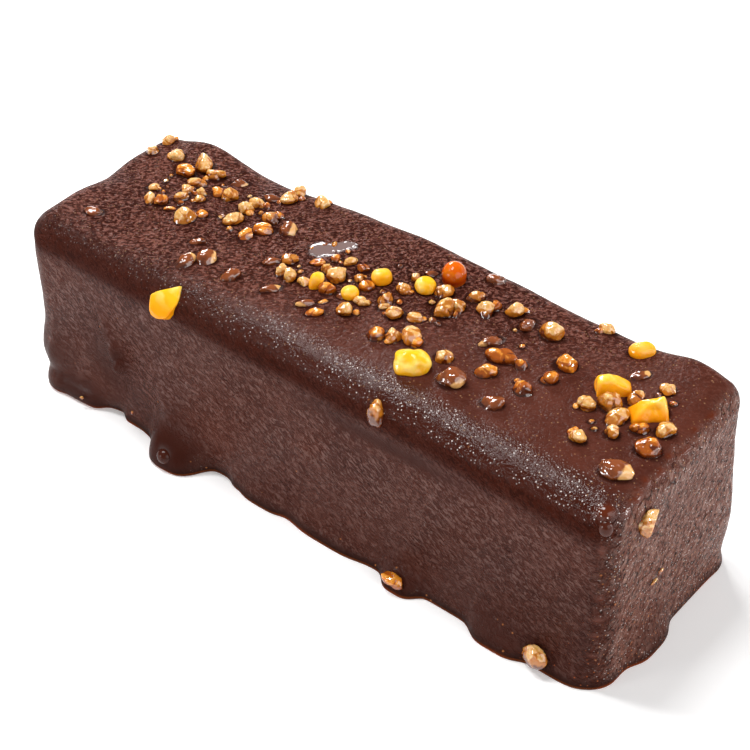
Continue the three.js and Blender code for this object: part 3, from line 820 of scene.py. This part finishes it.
# Nuts that stuck to an edge or a side: x, y, z, half sizes, turn about Y and about Z.
SIDE_TAN = [
    (66.1, -10.6, 33.6, 1.6, 2.8, 3.1, 0, 0),
    (54.2, -21.8, 3.4, 2.8, 1.8, 2.9, -30, 0),
    (18.7, -20, 37.3, 2, 1.8, 3.2, -14, 0),
    (-11, 21.1, 35.5, 2, 1.5, 2.2, 20, 0),
    (66.1, -5.8, 16, 0.3, 1, 0.4, 0, 0),
    (66.1, -3.9, 17, 0.3, 0.9, 0.6, 0, 0),
    (-55.4, -22.7, 2.6, 0.55, 0.4, 0.4, 0, 0),
]
SIDE_AMBER = [
    (24.3, -23.0, 2.6, 2.5, 1.7, 1.8, 12, 0),
    (-42.4, -21.2, 4.7, 0.4, 0.3, 0.4, 0, 0),
]

# Pale nut, its flesh, caramel and dark caramel; then where the last two set in, low down and in
# the creases, where they are also painted shade.
TAN = ((0.82, 0.53, 0.24), (0.71, 0.36, 0.085), (0.48, 0.155, 0.010), (0.13, 0.024, 0.002))
AMBER = ((0.84, 0.37, 0.065), (0.70, 0.225, 0.010), (0.38, 0.085, 0.003), (0.10, 0.015, 0.001))
CARAMEL_SHADES, SHADED_CARAMEL_SHARES = (0.96, 1.12), (1.26, 1.51)
WET_FOOT = (0.045, 0.011, 0.004)
COAT_IOR = 1.8  # more than sugar has, for the hard gloss


def nut_finish(name, pale, flesh, caramel, dark):
    """Nut flesh under caramel that has run together in the creases and at the foot, its darker
    colour there also painted shade.
    """
    glow = {"Subsurface_Weight": 0.24, "Subsurface_Radius": (1.0, 0.4, 0.08)}
    finish = Finish(name, IOR=COAT_IOR, Subsurface_Scale=0.0009, **glow)
    tone, height, crease, foot = finish.given("tone height crease foot")
    cloud, grain = finish.noise(1.6, roughness=0.55), finish.noise(0.6, 3, 0.6)
    colour = finish.mix(grain.between(0.38, 0.66), flesh, pale)
    shade = cloud * 0.9 + tone * 0.45 + (1 - height) * 1.1 + crease * 0.35
    colour = finish.mix(shade.between(*CARAMEL_SHADES), colour, caramel)
    colour = finish.mix(shade.between(*SHADED_CARAMEL_SHARES), colour, dark)
    colour = finish.mix((foot * foot).between(0.15, 0.7), colour, WET_FOOT)
    knobs = finish.noise(1.0, detail=1)
    relief = finish.relief(knobs * 0.06 + grain * 0.008)
    return finish.set(Base_Color=colour, Roughness=0.03 + 0.06 * grain, Normal=relief)


SHAPE_SEED, COVERED_SEED = 5, 96
CRUMB_SHARES = {"tan": 0.45, "amber": 0.75, "covered": 1.0}  # each with those before it

shape_draw = Draws(SHAPE_SEED)
crumb_kinds = {kind: [] for kind in CRUMB_SHARES}
for crumb in crumbs:
    drawn = shape_draw()
    crumb_kinds[next(kind for kind, share in CRUMB_SHARES.items() if drawn < share)].append(crumb)

tan_mesh = new_pieces()
add_scattered(tan_mesh, "tan", PIECES["tan"] + crumb_kinds["tan"], NUT_LUMP, shape_draw)
add_side_pieces(tan_mesh, "tan", SIDE_TAN, shape_draw)
tan_finish = nut_finish("caramelised_nut", *TAN)
tan_nuts = finished_piece("tan_nuts", tan_mesh, tan_finish)

# Beads of caramel that ran to the foot of a nut: how often, how far from its middle, how large.
CARAMEL_SHARE, CARAMEL_REACH, CARAMEL_SIZE = 0.6, (0.42, 0.6), (0.35, 0.6)
CARAMEL_STRETCH = (1.0, 1.5)
caramel_beads = []
for x, y, length, width, turn in PIECES["tan"]:
    if shape_draw() < CARAMEL_SHARE:
        way = 2 * math.pi * shape_draw()
        reach, size = shape_draw(*CARAMEL_REACH) * length, shape_draw(*CARAMEL_SIZE) * width
        place = (x + reach * math.cos(way), y + reach * math.sin(way))
        length = size * shape_draw(*CARAMEL_STRETCH)
        caramel_beads.append((*place, length, size, 180 * shape_draw()))

amber_mesh = new_pieces()
amber_rows = PIECES["amber"] + crumb_kinds["amber"] + caramel_beads
add_scattered(amber_mesh, "amber", amber_rows, AMBER_LUMP, shape_draw)
add_side_pieces(amber_mesh, "amber", SIDE_AMBER, shape_draw)
amber_finish = nut_finish("amber_caramel", *AMBER)
amber_nuts = finished_piece("amber_nuts", amber_mesh, amber_finish)

# ------------------------
# The covered nuts: pieces that sank in, so that the glaze closed over them in a thin, glossy,
# reddish-brown film. Some are bare at one end, where the nut shows pale.
# ------------------------

BARE_NUT, FILM, THICK_FILM = (0.80, 0.42, 0.14), (0.25, 0.059, 0.012), (0.055, 0.011, 0.004)

covered_mesh = new_pieces()
covered_rows = PIECES["covered"] + crumb_kinds["covered"]
add_scattered(covered_mesh, "covered", covered_rows, COVERED_LUMP, Draws(COVERED_SEED))
film = Finish("nut_under_glaze", IOR=COAT_IOR)
film_cloud = film.noise(1.5)
film_tone, film_height, film_foot, film_bare = film.given("tone height foot bare")
thinness = (film_cloud * 0.9 + film_height * 0.6).between(0.55, 1.05)
film_colour = film.mix(thinness, THICK_FILM, FILM)
bare_share = film_bare + film_cloud * 0.5 + film_tone * 0.9
film_colour = film.mix(bare_share.between(1.3, 1.5), film_colour, BARE_NUT)
film_colour = film.mix(film_foot * film_foot * 0.8, film_colour, DARK_GLAZE)
film_relief = film.relief(film_cloud * 0.15)
film.set(Base_Color=film_colour, Roughness=0.05 + 0.05 * film_cloud, Normal=film_relief)
covered_nuts = finished_piece("covered_nuts", covered_mesh, film.material)

# ------------------------
# The candied fruit: moist diced pieces in warm yellow, and a smooth round one in orange. They are
# softer in form than the nuts, waxy, and lie higher on the glaze. One thin flake leans on the
# front edge.
# ------------------------

# Flat faces that bound a cut piece: where each faces, along the picture's level way, away from
# the viewer and upwards, and how far it lies from the middle.
WEDGE = [
    (0, -1, 0.35, 1.4), (0.1, 1, 0.3, 1.5), (-1, 0, 0.1, 2.6), (0.55, 0, 1, 1.45),
    (-0.3, 0, 1, 2), (1, 0, 0.2, 3.1), (0, 0, -1, 1.8),
]
TRAPEZOID = [
    (0, -1, 0.5, 1.35), (0, 1, 0.3, 1.4), (-1, -0.1, 0.9, 1.9), (1, -0.1, 0.3, 2.4),
    (-0.35, 0.1, 1, 1.5), (0, 0, -1, 1.9),
]


def rounded_block(half_x, half_y, half_z, lean=0.0):
    """The flat faces of a block."""
    return [
        (-1, 0, lean, half_x), (1, 0, -lean, half_x), (0, -1, 0.15, half_y), (0, 1, 0.15, half_y),
        (lean, 0, 1, half_z), (0, 0, -1, half_z),
    ]


# Each piece: x, y, how high its middle lies, its faces, how sharp and how uneven it is.
FRUIT = [
    (-9, -3, 1, rounded_block(1.2, 1.25, 1.7, 0.25), 3.2, 0.25),
    (-2.5, -1.5, 0.7, rounded_block(1.6, 1.5, 1.4), 2.1, 0.15),
    (-0.5, 5, 1, rounded_block(1.85, 1.6, 1.5, -0.05), 2.6, 0.2),
    (7.5, 7.5, 1, rounded_block(1.9, 1.7, 1.5, 0.12), 2.3, 0.25),
    (18.5, -10.2, 1.1, rounded_block(3.1, 2.4, 2.1, 0.25), 2.5, 0.45),
    (47, 16.5, 0.6, rounded_block(2.3, 1.7, 1.7), 2.1, 0.2),
    (48, 5.5, 1.2, WEDGE, 9, 0.25),
    (56.5, 4.5, 1.2, TRAPEZOID, 10, 0.25),
]
# The corners of the flake's outline, along and up its face, then where it lies and faces.
FLAKE_CORNERS = [(2.2, 3.8), (-3.3, 0.6), (-2.4, -2.9), (-0.9, -3.5), (1.1, -2.9), (2.7, 1.0)]
FLAKE_MIDDLE, FLAKE_FACING = (-29.9, -20.2, 37.2), (0.148, -0.742, 0.643)
FLAKE_HALF_THICKNESS, FLAKE_SHARPNESS, FLAKE_LUMP = 1.0, 14, 0.22
FRUIT_DETAIL, FRUIT_FOOT_HEIGHT = 5, 0.6


def add_cut_piece(bm, faces, turn, middle, ground, sharpness, lump, draw):
    """Adds a piece bounded by given flat faces, with rounded edges and a little unevenness."""
    made = bmesh.ops.create_icosphere(bm, subdivisions=FRUIT_DETAIL, radius=1)["verts"]
    around = np.array([vert.co for vert in made])
    normals = np.array([face[:3] for face in faces], float)
    normals /= np.linalg.norm(normals, axis=1)[:, None]
    depths = np.array([face[3] for face in faces])
    cut = np.maximum(around @ normals.T / depths, 1e-3)
    radius = (cut**sharpness).sum(1) ** (-1 / sharpness)
    shaped = around * radius[:, None]
    rough, finer = two_lumps(shaped, 0.55, 1.6, draw)
    shaped += around * (lump * rough + 0.12 * lump * finer)[:, None]
    tone = draw()
    layers = bm.verts.layers.float
    for vert, point in zip(made, shaped):
        vert.co = turn @ Vector(point) + middle
        vert[layers["tone"]] = tone
        vert[layers["height"]] = min(max(0.5 + 0.25 * (vert.co.z - middle.z), 0), 1)
        vert[layers["foot"]] = min(max(1 - (vert.co.z - ground) / FRUIT_FOOT_HEIGHT, 0), 1)


def outline_faces(corners, half_thickness):
    """The flat faces of a slab with that outline, going round it counter-clockwise."""
    faces = [(0, 0, 1, half_thickness), (0, 0, -1, half_thickness)]
    for (x, y), (next_x, next_y) in zip(corners, corners[1:] + corners[:1]):
        length = math.hypot(next_x - x, next_y - y)
        out_x, out_y = (next_y - y) / length, (x - next_x) / length
        faces.append((out_x, out_y, 0, out_x * x + out_y * y))
    return faces


# Where the fruit is cloudy, clear and deep in colour.
YELLOW = ((1.0, 0.70, 0.16), (1.0, 0.51, 0.014), (1.0, 0.33, 0.004))
ORANGE = ((0.80, 0.215, 0.001), (0.68, 0.115, 0.0003), (0.26, 0.023, 0.0002))
FRUIT_FOOT = (0.30, 0.07, 0.006)


def fruit_finish(name, pale, bright, deep):
    """Moist fruit that the light enters, deeper in colour below than on top, which also paints the
    shade on the lower side.
    """
    glow = {"Subsurface_Weight": 0.4, "Subsurface_Radius": (1.0, 0.6, 0.15)}
    finish = Finish(name, IOR=1.36, Subsurface_Scale=0.0014, **glow)
    cloud, grain = finish.noise(2.4), finish.noise(0.8)
    tone, height, foot = finish.given("tone height foot")
    colour = finish.mix(cloud.between(0.42, 0.68), bright, pale)
    share = (cloud * 0.3 + (1 - height) * 0.75 + tone * 0.4).between(0.38, 1.05)
    colour = finish.mix(share, colour, deep)
    colour = finish.mix(foot * foot * 0.6, colour, FRUIT_FOOT)
    relief = finish.relief(cloud * 0.2 + grain * 0.05)
    return finish.set(Base_Color=colour, Roughness=0.06 + 0.08 * grain, Normal=relief)


VIEW_TURN = Euler((0, 0, math.radians(40))).to_matrix()  # to the picture's level way

fruit_mesh = new_pieces()
for x, y, lift, faces, sharpness, lump in FRUIT:
    ground = top_height(x, y)
    middle = Vector((x, y, ground + lift))
    add_cut_piece(fruit_mesh, faces, VIEW_TURN, middle, ground, sharpness, lump, shape_draw)
facing = Vector(FLAKE_FACING).normalized()
level_way = Vector((0, 0, 1)).cross(facing).normalized()
flake_turn = Matrix((level_way, facing.cross(level_way), facing)).transposed()
flake_faces = outline_faces(FLAKE_CORNERS, FLAKE_HALF_THICKNESS)
flake_place = flake_turn, Vector(FLAKE_MIDDLE), 0
add_cut_piece(fruit_mesh, flake_faces, *flake_place, FLAKE_SHARPNESS, FLAKE_LUMP, shape_draw)
yellow_finish = fruit_finish("yellow_candied_fruit", *YELLOW)
yellow_fruit = finished_piece("yellow_fruit", fruit_mesh, yellow_finish)

orange_mesh = new_pieces()
add_scattered(orange_mesh, "orange", PIECES["orange"], ORANGE_LUMP, shape_draw)
orange_finish = fruit_finish("orange_candied_fruit", *ORANGE)
orange_fruit = finished_piece("orange_fruit", orange_mesh, orange_finish)

# ------------------------
# The studio: a pale floor that glows a little and runs away out of sight, small lamps overhead,
# behind and low at both sides for the gloss, large soft panels at the right and behind, and the
# camera where the photograph was taken from.
# ------------------------

FLOOR_SIZE = 6.0  # in metres, as all sizes here
bm = bmesh.new()
bmesh.ops.create_grid(bm, x_segments=1, y_segments=1, size=FLOOR_SIZE / 2)
floor_mesh = bpy.data.meshes.new("floor")
bm.to_mesh(floor_mesh)
bm.free()
floor = bpy.data.objects.new("floor", floor_mesh)
floor_colours = {"Base_Color": (0.95, 0.95, 0.95, 1), "Emission_Color": (1, 1, 1, 1)}
floor_finish = Finish("pale_floor", Roughness=0.6, Emission_Strength=0.2, **floor_colours)
floor_mesh.materials.append(floor_finish.material)
scene.collection.objects.link(floor)

# Each lamp's place, what it is aimed at, its size and its power.
LAMPS = {
    "overhead": ((-0.24, 0, 0.78), (0, 0, 0.03), (0.24, 0.27), 4.0),
    "spot": ((-0.42, -0.16, 0.66), (0, 0, 0.03), (0.07, 0.07), 1.5),
    "behind_left": ((-0.74, 0.56, 0.5), (0, 0, 0.04), (0.28, 0.22), 6.2),
    "low_left": ((-0.5, -0.86, 0.19), (0, 0, 0.03), (0.3, 0.1), 3.0),
    "low_right": ((0.8, 0.6, 0.21), (0.03, 0, 0.02), (0.22, 0.1), 2.6),
    "right": ((0.95, -0.1, 0.5), (0, 0, 0.02), (1.0, 0.8), 6.5),
    "behind": ((0.45, 0.95, 0.5), (0.1, 0, 0), (1.2, 0.5), 2.0),
}
for name, (place, aim, size, power) in LAMPS.items():
    lamp = bpy.data.lights.new(name, "AREA")
    lamp.shape = "RECTANGLE"
    lamp.size, lamp.size_y = size
    lamp.energy = power
    light = bpy.data.objects.new(name, lamp)
    light.location = place
    light.rotation_euler = (Vector(aim) - Vector(place)).to_track_quat("-Z", "Y").to_euler()
    scene.collection.objects.link(light)

world = bpy.data.worlds.new("studio")
scene.world = world
world.use_nodes = True
sky = world.node_tree.nodes["Background"]
sky.inputs["Color"].default_value = (1, 1, 1, 1)
sky.inputs["Strength"].default_value = 0.2

CAMERA_AZIMUTH, CAMERA_ELEVATION, CAMERA_ROLL = (math.radians(a) for a in (39.80, 39.98, -0.919))
CAMERA_DISTANCE = 0.3237
CAMERA_SIDE, CAMERA_RISE = 0.0013, 0.00169
FRAME_PIXELS, FOCAL_PIXELS, SENSOR = 750, 1753.5, 36.0

back_x = math.sin(CAMERA_AZIMUTH) * math.cos(CAMERA_ELEVATION)
back_y = -math.cos(CAMERA_AZIMUTH) * math.cos(CAMERA_ELEVATION)
back = Vector((back_x, back_y, math.sin(CAMERA_ELEVATION)))
level = Vector((math.cos(CAMERA_AZIMUTH), math.sin(CAMERA_AZIMUTH), 0))
rise = back.cross(level)
right = math.cos(CAMERA_ROLL) * level + math.sin(CAMERA_ROLL) * rise
up_way = back.cross(right)
lens = bpy.data.cameras.new("camera")
lens.sensor_width = SENSOR
lens.lens = FOCAL_PIXELS / FRAME_PIXELS * SENSOR
lens.clip_start = 0.01
camera = bpy.data.objects.new("camera", lens)
middle = Vector((0, 0, HEIGHT / 2 * MM))
place = middle + back * CAMERA_DISTANCE + right * CAMERA_SIDE + up_way * CAMERA_RISE
turned = Matrix((right, up_way, back)).transposed().to_4x4()
camera.matrix_world = Matrix.Translation(place) @ turned
scene.collection.objects.link(camera)
scene.camera = camera
scene.view_settings.view_transform = "Standard"
